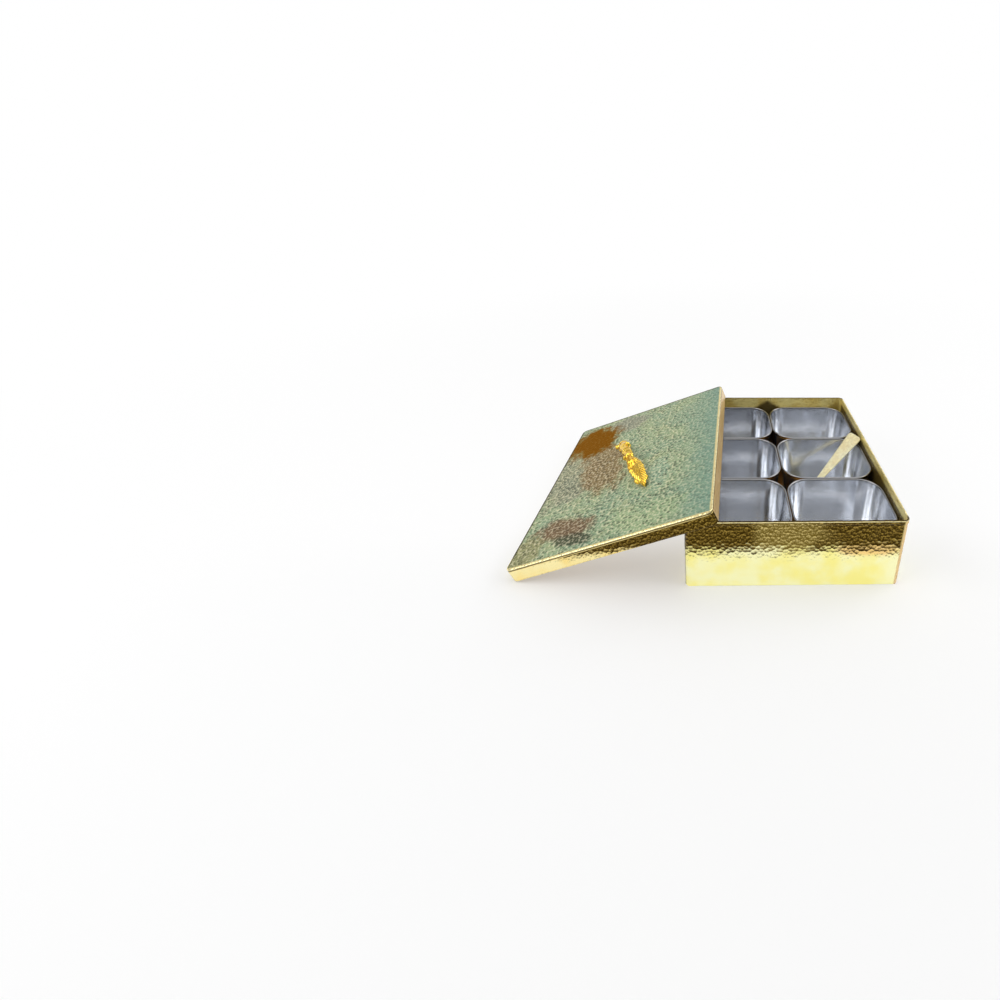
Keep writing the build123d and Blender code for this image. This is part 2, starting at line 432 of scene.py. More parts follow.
def fill_end(bm, uv, edge, rings):
    """Closes an end with rings of faces that shrink to its middle"""
    middle = sum((v.co for v in edge), Vector()) / len(edge)
    outer = edge
    for ring in range(1, rings):
        inner = [bm.verts.new(middle + (v.co - middle) * (1 - ring / rings)) for v in edge]
        sew(bm, outer, inner, closed=True)
        outer = inner
    point = bm.verts.new(middle)
    for i in range(len(edge)):
        bm.faces.new((outer[i], outer[(i + 1) % len(edge)], point))
    for face in bm.faces:
        for loop in face.loops:
            if loop[uv].uv.length == 0.0:
                loop[uv].uv = (loop.vert.co.x, loop.vert.co.y)


# %% Curves of a cross-section
def arc(middle, radius, start, end, steps):
    """Points of a round in the cross-section, from one angle to another in degrees"""
    turns = [radians(start + (end - start) * i / steps) for i in range(steps + 1)]
    return [(middle[0] + radius * cos(t), middle[1] + radius * sin(t)) for t in turns]


def climb(start, end, spacing):
    """Points between two places of the cross-section, without the first and the last"""
    parts = max(1, round(hypot(end[0] - start[0], end[1] - start[1]) / spacing))
    return [(start[0] + (end[0] - start[0]) * i / parts, start[1] + (end[1] - start[1]) * i / parts)
            for i in range(1, parts)]


print("a quarter round:", [(round(x, 1), round(y, 1)) for x, y in arc((0, 0), 1, 0, 90, 2)])


# %% Dressing the frame
def into_place(mesh, matrix):
    """Moves a mesh made in millimetres to its place in the frame, in metres"""
    mesh.transform(Matrix.Scale(MM, 4) @ matrix)
    mesh.update()
    return mesh


def dress(name, mesh, body, node, material):
    """Adds a finished piece that rides on a body and stands for a piece of the frame"""
    item = new_object(name, mesh)
    item.data.materials.append(material)
    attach(item, body)
    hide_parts(node)
    print(name, len(mesh.polygons), "faces")


def paint(node, material):
    """Gives a piece of the frame its material and leaves its shape as it is"""
    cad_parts[node].data.materials.clear()
    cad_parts[node].data.materials.append(material)
    print(node, "painted with", material.name)


# %% [markdown]
# ## Hammered brass
# Hammering leaves a shallow cup for each blow, and neighbouring cups meet in soft ridges.
# A Voronoi pattern squared gives just that: the distance to the nearest cell centre, squared, is
# a field of cups.
# Wear, cloudy lacquer and a slow change of tone come from noise in the same UV place.

# %% Cups
def cups(shader, where, size, wander=0.85):
    """Height of hammer cups, 0 in the middle of a blow and about 1 at the ridges"""
    soft = shader.node("TexNoise", "Color", Vector=where, Scale=0.35 / size, Detail=1.0)
    shifted = shader.vector_math("MULTIPLY_ADD", soft, (0.5 * size, 0.5 * size, 0.5 * size), where)
    return cells(shader, "Distance", shifted, size, wander).power(2.0)


def cells(shader, output, where, size, wander):
    """One output of a flat pattern of cells"""
    return shader.node("TexVoronoi", output, {"feature": "F1", "voronoi_dimensions": "2D"},
                       Vector=where, Scale=1.0 / size, Randomness=wander)


def lean_of_cups(shader, where, size):
    """How much a hammered sheet leans upwards: the cups' height just above less that just below"""
    above, below = (cups(shader, shader.vector_math("ADD", where, (0.0, shift * size, 0.0)), size)
                    for shift in (0.13, -0.13))
    return above - below


def oval(shader, where, middle, size, warp, spread, start, end, turn=0.0):
    """1 inside an oval, fading to 0 outside it from start to end; warp breaks up its edge"""
    local = shader.node("Mapping", 0, {"vector_type": "TEXTURE"}, Vector=where,
                        Location=middle, Rotation=(0.0, 0.0, radians(turn)), Scale=size)
    reach = shader.vector_math("LENGTH", local, output="Value")
    return 1.0 - (reach + (warp - 0.5) * spread).step(start, end)


def blush(shader, middle, size, warp):
    """An upright oval on a wall, with its middle and half sizes in millimetres"""
    middle, size = ([c * MM for c in values] for values in (middle, size))
    return oval(shader, shader.place("Object"), middle, size, warp, 1.2, 0.5, 1.2)


print("patterns ready: cups and ovals")


# %% [markdown]
# Polished brass takes its look from what stands round it.
# In the photo that is a bright table below and a dark room above, with a ragged line between them,
# because every cup mirrors another part of the room.
# The room isn't in this scene, so its reflection is painted into the colour, set by height on the
# object.
# That keeps it the same from every side and under any light.

# %% Two faces of a brass sheet
class BrassSheet(Shader):
    """A material that knows where on a hammered sheet a point lies, in millimetres"""

    def __init__(self, name, cup):
        super().__init__(name)
        self.where = self.place("UV")
        self.around, self.run = (self.axis(self.where, number) for number in (0, 1))
        self.side, self.rise = (self.axis(self.place("Object"), number) / MM for number in (0, 2))
        self.lean = lean_of_cups(self, self.where, cup)
        self.grain = self.noise(self.where, 0.7, 4.0, 0.65)
        self.waves = self.noise(self.where, 0.05, 2.0)
        self.clouds = self.noise(self.where, 0.03, 3.0)


def outer_face(brass, line_height, line_tilt, table, lit):
    """Painted reflections of a bright table below a ragged line and a dark room above it; lit paints a
    side as lit
    """
    # Where the painted reflection turns from table to room: a ragged line that moves with how each cup
    # leans
    ragged = brass.rise + brass.run * line_tilt - brass.lean * 24.0 + (brass.grain - 0.5) * 20.0
    ragged = ragged + (brass.waves - 0.5) * 12.0
    high = ragged.step(line_height - 6.0, line_height + 6.0) * (1.0 - lit)
    # The bright part is a painted reflection of the table, warmer in an orange oval
    bright = brass.mix(brass.clouds.step(0.35, 0.65), *table)
    orange = blush(brass, (68, -127, 44), (34, 20, 9), brass.clouds)
    bright = brass.mix(orange * 0.7, bright, (250, 196, 112))
    peach = brass.mix(brass.grain.step(0.35, 0.65), (246, 212, 148), (224, 184, 118))
    # The lit side is painted in peach, as if in full light
    bright = brass.mix(lit, bright, peach)
    # Painted glints in the dark part, where the cups lean
    glint = (brass.lean * 1.2 + (brass.grain - 0.5) * 2.4).step(-0.2, 0.7)
    # The dark part is a painted reflection of the room, lighter in a khaki oval
    dark_room_reflection = brass.mix(glint, (60, 46, 12), (168, 140, 66))
    khaki = blush(brass, (-6, -127, 60), (36, 20, 40), brass.waves)
    dark_room_reflection = brass.mix(khaki * 0.9, dark_room_reflection, brass.mix(glint, (116, 98, 42), (222, 202, 132)))
    return brass.mix(high, bright, dark_room_reflection)


def inner_face(brass, inside_from, right):
    """Speckled gold, painted shade low on the right, and a dark star, a painted reflection of the gap
    between bowls
    """
    gold = brass.mix(brass.clouds.step(0.35, 0.65), (255, 236, 150), (236, 206, 110))
    # Dark specks from the grain, partly painted from how each cup leans
    gold = brass.mix((brass.grain + brass.lean * 0.3).step(0.52, 0.7) * 0.7, gold, (104, 78, 30))
    # Painted shade low on the inside of the right wall
    deep = (brass.run + (brass.grain - 0.5) * 3.0).step(inside_from + 5.0, inside_from + 9.0)
    gold = brass.mix(deep * right * 0.85, gold, (66, 44, 14))
    # A painted reflection of the gap between the bowls: dark in the middle of the wall, wide low down,
    # narrow near the top
    star = abs(brass.side) + brass.rise * 1.5 - 100.0 + (brass.grain - 0.5) * 8.0
    return brass.mix((1.0 - star.step(4.0, 14.0)) * 0.85, gold, (62, 44, 18))


print("colours ready for the outside and the inside of brass")


# %% Whole brass sheet
def hammered_brass(name, cup, line_height, line_tilt, table, top_from, inside_from, gold_from,
                   lit_side, dark_side, groove):
    """Hammered brass with a painted highlight line, with worn specks, along its top edge and painted
    dark above it

    top_from and inside_from are distances along the cross-section; gold_from, lit_side (a side
    painted as lit) and dark_side (a stripe of painted shade) are distances along the outline. groove
    is the share of painted shade in the groove under the top edge and of a painted highlight below it.
    """
    brass = BrassSheet(name, cup)
    run, grain, mix = brass.run, brass.grain, brass.mix
    # lit is a side painted as in full light, peach and less metallic; dark is a stripe of painted
    # shade
    lit = brass.around.within(*lit_side, 2.0, 4.0)
    dark = brass.around.within(*dark_side, 2.0, 2.0)
    right = brass.around.step(659.0, 662.0)
    inside = run.step(inside_from - 0.4, inside_from + 0.4)
    # Top edge: a thin painted highlight line with darker specks and painted dark over the rounded top;
    # from gold_from on, the whole top edge is painted highlight
    edge = run.step(top_from - 0.4, top_from + 0.4)
    plain_edge = 1.0 - brass.around.step(gold_from, gold_from + 4.0)
    line = edge * (1.0 - plain_edge * run.step(top_from + 0.7, top_from + 1.1))
    # cut is a line of painted shade in the groove, glow a line of painted highlight just below it
    cut = run.step(top_from - 1.5, top_from - 1.2) * groove
    glow = run.step(top_from - 2.2, top_from - 1.9) * (1.0 - lit) * groove
    worn = (grain + right * 0.05).step(0.5, 0.66) * 0.65
    base = outer_face(brass, line_height, line_tilt, table, lit)
    base = mix(dark * 0.8, base, (64, 50, 16))
    base = mix(glow * 0.8, base, (244, 222, 150))
    base = mix(cut * 0.85, base, (62, 48, 18))
    base = mix(edge, base, (84, 68, 30))
    base = mix(line, base, mix(worn, (255, 240, 180), (120, 92, 42)))
    base = mix(inside, base, inner_face(brass, inside_from, right))
    scratch = brass.noise(brass.where, 0.9, 4.0, 0.7)
    rough = 0.14 + brass.clouds * 0.08 + scratch * 0.08
    dents = brass.bump(cups(brass, brass.where, cup), 0.4 * MM)
    fine = brass.bump(scratch, 0.02 * MM, under=dents)
    metal = (1.0 - inside * 0.5) * (1.0 - lit * 0.7)
    return brass.finish(Base_Color=base, Metallic=metal, Roughness=rough, Normal=fine)


# Wall: front right corner painted as lit, painted shade down the front left corner. Band: right side
# painted as lit, painted shade at the front left corner
wall_brass = hammered_brass(
    "hammered_brass_wall", cup=3.6, line_height=42.0, line_tilt=0.0,
    table=((255, 253, 196), (255, 246, 150)), top_from=76.2, inside_from=79.0, gold_from=661.0,
    lit_side=(653.0, 661.0), dark_side=(452.0, 454.5), groove=0.0)
band_brass = hammered_brass(
    "hammered_brass_band", cup=3.4, line_height=46.0, line_tilt=1.0,
    table=((255, 240, 176), (255, 226, 138)), top_from=15.1, inside_from=17.1, gold_from=452.0,
    lit_side=(679.0, 940.0), dark_side=(465.0, 467.5), groove=1.0)
print("brass:", wall_brass.name, "and", band_brass.name)

# %% [markdown]
# ## The box
# The wall is one sheet with its top folded over into a hem, which stands a little proud outside.
# Hammering never leaves a sheet quite flat, so slow waves and the blows themselves go into the
# mesh, a few tenths of a millimetre deep.
# Blender's noise module gives the blows: the nearer a point lies to the middle of one, the deeper
# it is. The floor is plain sheet, so the frame's own piece only gets a material.

# %% Box wall
box_width, box_depth, box_height = 203.0, 254.0, 76.0
sheet, corner, hem, proud = 1.2, 5.0, 4.0, 0.6


def blows(along, across, size, depth):
    """How far hammer blows push a sheet in: 0 on the ridges between them, -depth in their middles"""
    from_middle = noise.voronoi(Vector((along / size, across / size, 0.5)))[0][0]
    return -depth * max(0.0, 1.0 - 2.0 * from_middle ** 2)


def slow_wave(along, up, seed):
    """A slow wave between 0 and 1"""
    return 0.5 + 0.5 * noise.noise(Vector((along, up, seed)))


def wall_dent(along, up):
    """Slow waves and hammer blows in the wall, always inwards"""
    return -0.2 * slow_wave(along * 0.035, up * 0.05, 3.0) + blows(along, up, 6.5, 0.2)


foot_round, hem_round, rim_round, crease = 0.7, 0.6, 0.3, 0.15
hem_foot = box_height - hem
wall_profile = [
    (-sheet, 0.0), (-foot_round, 0.0), *arc((-foot_round, foot_round), foot_round, -90, 0, 3),
    *climb((0.0, foot_round), (0.0, hem_foot), 1.8), (0.0, hem_foot - 0.2),
    (crease, hem_foot), (proud - crease, hem_foot), (proud, hem_foot + crease),
    *climb((proud, hem_foot + crease), (proud, box_height - hem_round), 1.2),
    *arc((proud - hem_round, box_height - hem_round), hem_round, 0, 90, 5),
    (rim_round - sheet, box_height),
    *arc((rim_round - sheet, box_height - rim_round), rim_round, 90, 180, 3),
    *climb((-sheet, box_height - rim_round), (-sheet, 0.0), 2.2)]
wall_ring = outline(box_width, box_depth, corner, 8, 1.8)
wall_mesh = carry("box_wall_hammered", wall_ring, wall_profile, close=True, dent=wall_dent)
dress("box_wall_hammered", into_place(wall_mesh, Matrix()), "box", "box_wall", wall_brass)


# %% Box floor
def plain_brass(name):
    """Plain brass sheet, warmer and duller than the polished wall"""
    shader = Shader(name)
    at = shader.place("Object")
    clouds = shader.noise(at, 18.0, 4.0)
    grain = shader.noise(at, 900.0, 2.0)
    base = shader.mix(clouds.step(0.3, 0.7), (232, 172, 92), (190, 128, 62))
    dents = shader.bump(grain, 0.03 * MM)
    return shader.finish(Base_Color=base, Metallic=1.0, Roughness=0.32 + clouds * 0.2, Normal=dents)


paint("box_floor", plain_brass("floor_brass"))

# %% [markdown]
# ## The bowls
# Each bowl is pressed from thin stainless steel: the wall leans out a little, the bottom is rounded
# and the rim is rolled.
# Pressing and polishing leave very fine lines round the wall, so the noise for the bump is
# stretched along the edge.
# One outline and one cross-section make all six bowls, each in its own place.

# %% Bowl steel
def bowl_steel(name):
    """Polished steel with fine lines round the wall, duller on the rim"""
    shader = Shader(name)
    where = shader.place("UV")
    rise = shader.axis(shader.place("Object"), 2) / MM
    mapped = shader.node("Mapping", 0, Vector=where, Scale=(0.012, 1.3, 1.0))
    lines = shader.noise(mapped, 3.0, 3.0, 0.6)
    smears = shader.noise(where, 0.06, 3.0)
    base = shader.mix(smears.step(0.3, 0.75), (227, 229, 233), (215, 218, 223))
    base = shader.mix(rise.step(60.8, 61.2), base, (160, 160, 162))
    rough = 0.13 + smears * 0.07 + lines * 0.08
    waves = shader.bump(shader.noise(where, 0.09, 1.0), 0.2 * MM)
    fine = shader.bump(lines, 0.01 * MM, under=waves)
    return shader.finish(Base_Color=base, Metallic=1.0, Roughness=rough, Normal=fine)


# %% Bowl meshes
bowl_width, bowl_depth, bowl_round, bowl_height, bowl_gap = 99.1, 82.8, 24.0, 61.4, 0.8
steel, rim, rim_high, bottom_round, lean_in = 0.8, 1.8, 1.6, 9.0, 3.0


def bowl_profile():
    """From the middle of the underside, out and up the wall, round the rim, and down the inside"""
    def wall_at(up, inset):
        return -(rim - steel) - inset - lean_in * (1 - up / bowl_height)

    line = []
    for inset, lift in ((0.0, 0.0), (steel, steel)):
        radius = bottom_round - inset
        middle = (wall_at(0.0, inset) - radius, lift + radius)
        curve = arc(middle, radius, -90, -3, 9)
        top = (wall_at(bowl_height - rim_high, inset), bowl_height - rim_high)
        line.append(curve + climb(curve[-1], top, 4.0) + [top])
    bead = (-rim / 2, bowl_height - rim_high / 2)
    roll = [(bead[0] + rim / 2 * cos(radians(a)), bead[1] + rim_high / 2 * sin(radians(a)))
            for a in range(-70, 190, 20)]
    return line[0] + roll + line[1][::-1]


bowl_outline = outline(bowl_width, bowl_depth, bowl_round, 20, 5.0)
steel_material = bowl_steel("bowl_steel")
for row, row_name in enumerate(("front", "mid", "back")):
    for column, column_name in enumerate(("left", "right")):
        node = f"bowl_{row_name}_{column_name}"
        middle = Matrix.Translation(((column - 0.5) * (bowl_width + bowl_gap),
                                     (row - 1) * (bowl_depth + bowl_gap), sheet))
        mesh = carry(node + "_pressed", bowl_outline, bowl_profile(), cap_start=4, cap_end=4)
        dress(node + "_pressed", into_place(mesh, middle), node, node, steel_material)

# %% [markdown]
# ## The lid
# The lid is built level, with the middle of its open side at the origin, and then carried to
# where it leans.
# Its three directions are those of the construction: across, along and straight out of the top.
# A fine groove runs round its band just under the top, where the top sheet was closed in.

# %% Where the lid leans
lid_across = Vector((0.928730, -0.051761, 0.367126))
lid_out = Vector((-0.367108, 0.010204, 0.930122))
lid_along = lid_out.cross(lid_across)
lid_middle = Vector((-161.108, 4.194, 39.660))
lid_turn = Matrix((lid_across, lid_along, lid_out)).transposed()
lid_place = Matrix.Translation(lid_middle) @ lid_turn.to_4x4()
lid_width, lid_length, lid_depth, lid_corner = 209.6, 260.6, 15.0, 6.0


def lid_where(shader):
    """The place on the lid in millimetres, measured across and along it from its middle"""
    return shader.node("Mapping", 0, {"vector_type": "TEXTURE"}, Vector=shader.place("Object"),
                       Location=lid_middle * MM, Rotation=lid_turn.to_euler(), Scale=(MM, MM, MM))


# %% Lid band
def band_dent(along, up):
    """Slow waves and hammer blows in the lid's band, always inwards"""
    return -0.15 * slow_wave(along * 0.045, up * 0.08, 9.0) + blows(along, up, 5.5, 0.14)


brim, groove_in, top_round = 0.25, 0.3, 0.9
band_profile = [
    (-sheet, 0.0), (-brim, 0.0), (0.0, brim), *climb((0.0, brim), (0.0, lid_depth - 2.3), 1.6),
    (0.0, lid_depth - 2.3), (-groove_in, lid_depth - 1.8), (-groove_in, lid_depth - 1.6),
    (0.0, lid_depth - 1.1), *arc((-top_round, lid_depth - top_round), top_round, 0, 90, 6),
    (-sheet, lid_depth), *climb((-sheet, lid_depth), (-sheet, 0.0), 2.2)]
band_ring = outline(lid_width, lid_length, lid_corner, 8, 1.8)
band_mesh = carry("lid_band_hammered", band_ring, band_profile, close=True, dent=band_dent)
dress("lid_band_hammered", into_place(band_mesh, lid_place), "lid", "lid_skirt", band_brass)

# %% [markdown]
# ## Patina on the lid
# The top sheet is hammered in small cups and coloured with acid: turquoise all over, copper brown
# where the fire was hottest.
# Each coloured zone is a soft oval whose edge is broken up by noise, so it never looks drawn.
# The turquoise is thin on the ridges between the cups, where the yellow metal shows through.
# A zone is a row of numbers: middle, half sizes and turn on the lid, strength, how much it calms
# the grain, and colour.

# %% Coloured zones
PATINA_ZONES = [
    ((-82, 6), (44, 62), 14, 0.6, 0.0, (150, 142, 120)),
    ((-40, 10), (30, 60), 18, 0.9, 0.1, (142, 114, 68)),
    ((-30, 106), (34, 20), -16, 0.7, 0.3, (150, 144, 128)),
    ((-54, -92), (37, 18), -14, 0.85, 0.2, (120, 80, 52)),
    ((-40, -111), (30, 9), -14, 0.85, 0.2, (66, 72, 50)),
    ((-92, -114), (22, 26), 10, 0.6, 0.1, (156, 140, 80)),
    ((34, -40), (22, 30), 0, 0.5, 0.0, (150, 184, 160)),
    ((34, -106), (44, 22), 0, 0.5, 0.0, (164, 188, 142)),
    ((-74, 82), (43, 38), -35, 1.0, 0.92, (130, 84, 10)),
]


# %% Patina
patina_cup, patina_wander = 2.9, 0.95


def hammered_green(shader, where, flat, specks):
    """The lid top's colour with ridges and pits, the cups' height, clouds, and the copper zone"""
    hills = cups(shader, flat, patina_cup, patina_wander)
    tones = cells(shader, "Color", flat, patina_cup, patina_wander)
    tone = shader.node("SeparateColor", 0, Color=tones)
    clouds = shader.noise(flat, 0.02, 4.0, 0.6)
    patches = shader.noise(flat, 0.05, 5.0, 0.7)
    green = shader.mix(clouds.step(0.38, 0.62), (142, 168, 136), (164, 182, 138))
    green = shader.mix(patches.step(0.48, 0.7) * 0.6, green, (178, 182, 134))
    smooth = (shader.axis(where, 0) + (patches - 0.5) * 50.0).step(40.0, 105.0)
    green = shader.mix(smooth * 0.85, green, (127, 160, 142))
    rich = 1.0 - smooth * 0.6
    for middle, size, turn, strength, calm, tint in PATINA_ZONES:
        zone = oval(shader, where, (*middle, 0.0), (*size, 1000.0), patches, 1.9, 0.65, 1.15, turn)
        green = shader.mix(zone * strength, green, tint)
        rich = rich * (1.0 - zone * calm)
    ridge = (hills + (specks - 0.5) * 1.3).step(0.1, 0.55)
    pits = ((1.0 - hills) * 0.5 + tone * 0.5 + (specks - 0.5) * 1.1).step(0.66, 1.1)
    worn = shader.mix(ridge * rich * 0.8, green, shader.mix(0.62, green, (255, 244, 206)))
    worn = shader.mix(pits * rich * 0.9, worn, shader.mix(0.9, green, (30, 32, 18)))
    return worn, hills, clouds, zone


def patina(name):
    """The lid's top: its near edges are rubbed bare, and a dark line runs along the far ones"""
    shader = Shader(name)
    where = lid_where(shader)
    flat = shader.vector_math("MULTIPLY", where, (1.0, 1.0, 0.0))
    specks = shader.noise(flat, 0.4, 4.0, 0.75)
    worn, hills, clouds, copper = hammered_green(shader, where, flat, specks)
    across, along, up = (shader.axis(where, number) for number in (0, 1, 2))
    half_width, half_length = lid_width / 2 - sheet, lid_length / 2 - sheet
    near_edge = (across - half_width).larger(0.0 - along - half_length)
    far_edge = (0.0 - across - half_width).larger(along - half_length)
    worn = shader.mix((far_edge + (specks - 0.5) * 2.0).step(-2.0, -0.6) * 0.9, worn, (56, 54, 30))
    rubbed = (near_edge + (specks - 0.5) * 2.0).step(-2.2, -0.6)
    top = up.step(lid_depth - 0.7, lid_depth - 0.5)
    base = shader.mix(rubbed, worn, (250, 228, 158))
    base = shader.mix(top, shader.mix(clouds, (206, 170, 84), (176, 138, 60)), base)
    rough = 0.3 + specks * 0.16 + (1.0 - rubbed) * 0.08
    fine = shader.bump(specks, 0.14 * MM, under=shader.bump(hills, 0.34 * MM))
    metal = 1.0 - top * (1.0 - rubbed) * (1.0 - copper * 0.6) * 0.45
    tint = shader.mix(copper, (255, 255, 255), (255, 212, 112))
    return shader.finish(Base_Color=base, Metallic=metal, Roughness=rough, Specular_IOR_Level=0.15,
                         Specular_Tint=tint, Normal=fine)


# %% Lid plate
flat_edge = 2.0


def plate_mesh(width, length, corner_radius):
    """The top sheet, hammered above, with its edge left flat where it meets the band"""
    ring = outline(width, length, corner_radius, 8, 1.4)
    sides = [(0.0, lid_depth - sheet), (0.0, lid_depth)]
    mesh = carry("lid_plate_hammered", ring, sides, cap_start=6, cap_end=95)
    for vert in mesh.vertices:
        if vert.co.z > lid_depth - 0.01:
            from_edge = min(width / 2 - abs(vert.co.x), length / 2 - abs(vert.co.y))
            vert.co.z += blows(vert.co.x, vert.co.y, 4.5, 0.12) * min(1.0, from_edge / flat_edge)
    mesh.set_sharp_from_angle(angle=radians(50))
    return mesh


plate = plate_mesh(lid_width - 2 * sheet, lid_length - 2 * sheet, lid_corner - sheet)
dress("lid_plate_hammered", into_place(plate, lid_place), "lid", "lid_plate", patina("patina_brass"))


# %% [markdown]
# ## Screws and washers
# Two screws with washers hold the handle from below, where the photo doesn't show them.
# The frame's own pieces stay, and only get plain steel.

# %% Screws and washers
def screw_steel(name):
    """Plain steel, a little dirty"""
    shader = Shader(name)
    at = shader.place("Object")
    grain = shader.noise(at, 1500.0, 3.0)
    clouds = shader.noise(at, 300.0, 2.0)
    base = shader.mix(clouds, (150, 148, 142), (112, 106, 96))
    fine = shader.bump(grain, 0.02 * MM)
    return shader.finish(Base_Color=base, Metallic=1.0, Roughness=0.3 + grain * 0.2, Normal=fine)


fastener_steel = screw_steel("screw_steel")
for node in ("handle_screws", "handle_washers"):
    paint(node, fastener_steel)

# %% [markdown]
# ## The handle
# The handle is a casting of a twig that ends in a leaf, so it wants lumps, bark ridges and veins
# instead of clean tubes.
# Tubes, balls and the leaf are first joined into one skin by remeshing in small cubes, then smoothed.
# After that every point moves a little along its normal: ridges along the bark, a midrib and side
# veins on the leaf.

# %% Twig
handle_turn = radians(24.8)
far_foot, near_foot, arch, thick, root = 44.0, 47.0, 22.0, 5.2, 2.0
span = (far_foot + near_foot) / 2
ring_rise = arch - thick - root
ring_radius = (span ** 2 + ring_rise ** 2) / (2 * ring_rise)
half_turn = atan2(span, ring_radius - ring_rise)


def twig_at(share):
    """A point of the twig's middle line: share runs from -1 at the near foot to 1 at the far one"""
    turn = share * half_turn
    rise = arch - thick - ring_radius * (1 - cos(turn))
    return Vector((0.0, (far_foot - near_foot) / 2 + ring_radius * sin(turn), rise))


def add_tube(bm, line, radii, sides=20):
    """A closed tube along a line of points, each with its own radius"""
    turns = [2 * pi * k / sides for k in range(sides)]
    rings = []
    for i, (point, radius) in enumerate(zip(line, radii)):
        way = (line[min(i + 1, len(line) - 1)] - line[max(i - 1, 0)]).normalized()
        side = way.cross(Vector((0, 0, 1)) if abs(way.z) < 0.9 else Vector((1, 0, 0))).normalized()
        up = side.cross(way)
        rings.append([bm.verts.new(point + (side * cos(t) + up * sin(t)) * radius) for t in turns])
    for low, high in zip(rings, rings[1:]):
        sew(bm, low, high, closed=True)
    bm.faces.new(rings[0][::-1])
    bm.faces.new(rings[-1])


print("twig bent to a radius of", round(ring_radius, 1), "mm")

# %% Leaf
leaf_root, leaf_length = -12.0, 55.5


def leaf_half_width(share):
    """Half the leaf's width from its root (0) to its tip (1)"""
    return 8.2 * sin(pi * min(1.0, share * 1.02) ** 0.9) ** 0.8 + 0.3


def leaf_middle(share):
    """The line of the midrib"""
    rise = 15.4 + 0.6 * sin(pi * share) - 13.1 * share ** 1.35
    return Vector((0.8 * sin(3 * share), leaf_root - leaf_length * share, rise))


def add_leaf(bm):
    """A lens of leaf, thick at the midrib and thin at its toothed edge"""
    rows, columns = 56, 14
    tops, lows = [], []
    for i in range(rows + 1):
        share = i / rows
        middle = leaf_middle(share)
        width = max(0.05, leaf_half_width(share)) * (1 + 0.07 * abs(sin(share * 24)))
        top, low = [], []
        for j in range(columns + 1):
            across = 2 * j / columns - 1
            body = (1 - across ** 2) ** 0.5
            droop = 2.6 * across ** 2
            x = middle.x + width * across
            top.append(bm.verts.new((x, middle.y, middle.z - droop + 1.5 * body)))
            low.append(bm.verts.new((x, middle.y, max(0.35, middle.z - droop - 1.6 * body))))
        tops.append(top)
        lows.append(low)
    for i in range(rows):
        sew(bm, tops[i], tops[i + 1])
        sew(bm, lows[i], lows[i + 1])
    bmesh.ops.remove_doubles(bm, verts=[v for row in tops + lows for v in row], dist=0.02)


print("leaf", leaf_length, "mm long and", round(2 * leaf_half_width(0.5), 1), "mm wide")

# %% All parts of the handle
knots = ((0.6, 6.0), (0.24, 5.6), (-0.05, 5.9), (-0.3, 5.5), (-0.55, 6.0))
shoots = ((0.86, -1.0, 0.15, 10.5), (0.2, 1.0, 0.5, 7.6), (-0.35, -1.0, 0.3, 7.6))
foot_rings = ((0.0, 8.1), (0.8, 8.1), (2.0, 7.6), (3.2, 6.6), (5.0, 4.4))
steps = 40


def handle_parts():
    """Twig, knots, side shoots, feet and leaf in one mesh, still running through each other"""
    bm = bmesh.new()
    line = [twig_at(-1.04 + 2.08 * i / steps) for i in range(steps + 1)]
    line = [p + Vector((0.9 * sin(i * 0.45), 0.0, 0.0)) for i, p in enumerate(line)]
    line = [Vector((p.x, p.y, max(p.z, 1.6))) for p in line]
    add_tube(bm, line, [4.7 + 0.5 * sin(i * 0.83) for i in range(steps + 1)])
    for share, size in knots:
        ball = Matrix.Translation(twig_at(share)) @ Matrix.Scale(size, 4)
        bmesh.ops.create_icosphere(bm, subdivisions=3, radius=1.0, matrix=ball)
    for share, lean, rise, length in shoots:
        way = Vector((lean, 0.35, rise)).normalized()
        start = twig_at(share)
        shoot = [start + way * length * k / 6 for k in range(7)]
        add_tube(bm, shoot, [3.4, 3.3, 3.0, 2.8, 2.9, 3.0, 2.3], 16)
    for foot in (far_foot, -near_foot):
        add_tube(bm, [Vector((0, foot, h)) for h, _ in foot_rings], [r for _, r in foot_rings], 28)
    add_leaf(bm)
    return mesh_of(bm, "handle_parts")


# %% One skin
def remeshed(mesh, cube, smoothing):
    """One closed skin round a mesh, as a new mesh, from cubes of a given size"""
    helper = new_object("handle_helper", mesh)
    skin = helper.modifiers.new("skin", "REMESH")
    skin.mode = "VOXEL"
    skin.voxel_size = cube
    soft = helper.modifiers.new("soft", "SMOOTH")
    soft.iterations = smoothing
    soft.factor = 0.5
    bpy.context.view_layer.update()
    worked = helper.evaluated_get(bpy.context.evaluated_depsgraph_get())
    done = bpy.data.meshes.new_from_object(worked)
    bpy.data.objects.remove(helper)
    return done


handle_mesh = remeshed(handle_parts(), cube=0.62, smoothing=4)
handle_mesh.name = "lid_handle_carved"
print("skin with", len(handle_mesh.vertices), "points")


# %% Carving
def carve(mesh):
    """Moves points along their normals: bark on the twig, veins on the leaf; the underside stays"""
    for v, normal in [(v, v.normal.copy()) for v in mesh.vertices]:
        x, y, z = v.co
        grain = noise.noise(Vector((x * 0.9, y * 0.12, z * 0.9)))
        lumps = noise.noise(Vector((x * 0.16, y * 0.16, z * 0.16 + 7)))
        push = 0.42 * grain + 0.5 * lumps - 0.25
        share = (leaf_root - y) / leaf_length
        if share > 0.08 and normal.z > 0.2:
            rib = abs(x - leaf_middle(share).x)
            veins = sin((y + 1.1 * rib) * 1.45)
            midrib = 0.75 * max(0.0, 1 - rib / 1.3)
            push = 0.25 * veins * min(1.0, rib / 2.0) + midrib - 0.2 + 0.15 * grain
        v.co += normal * push * min(1.0, max(0.0, z - 0.4) / 2.0)
        v.co.z = max(v.co.z, 0.0)


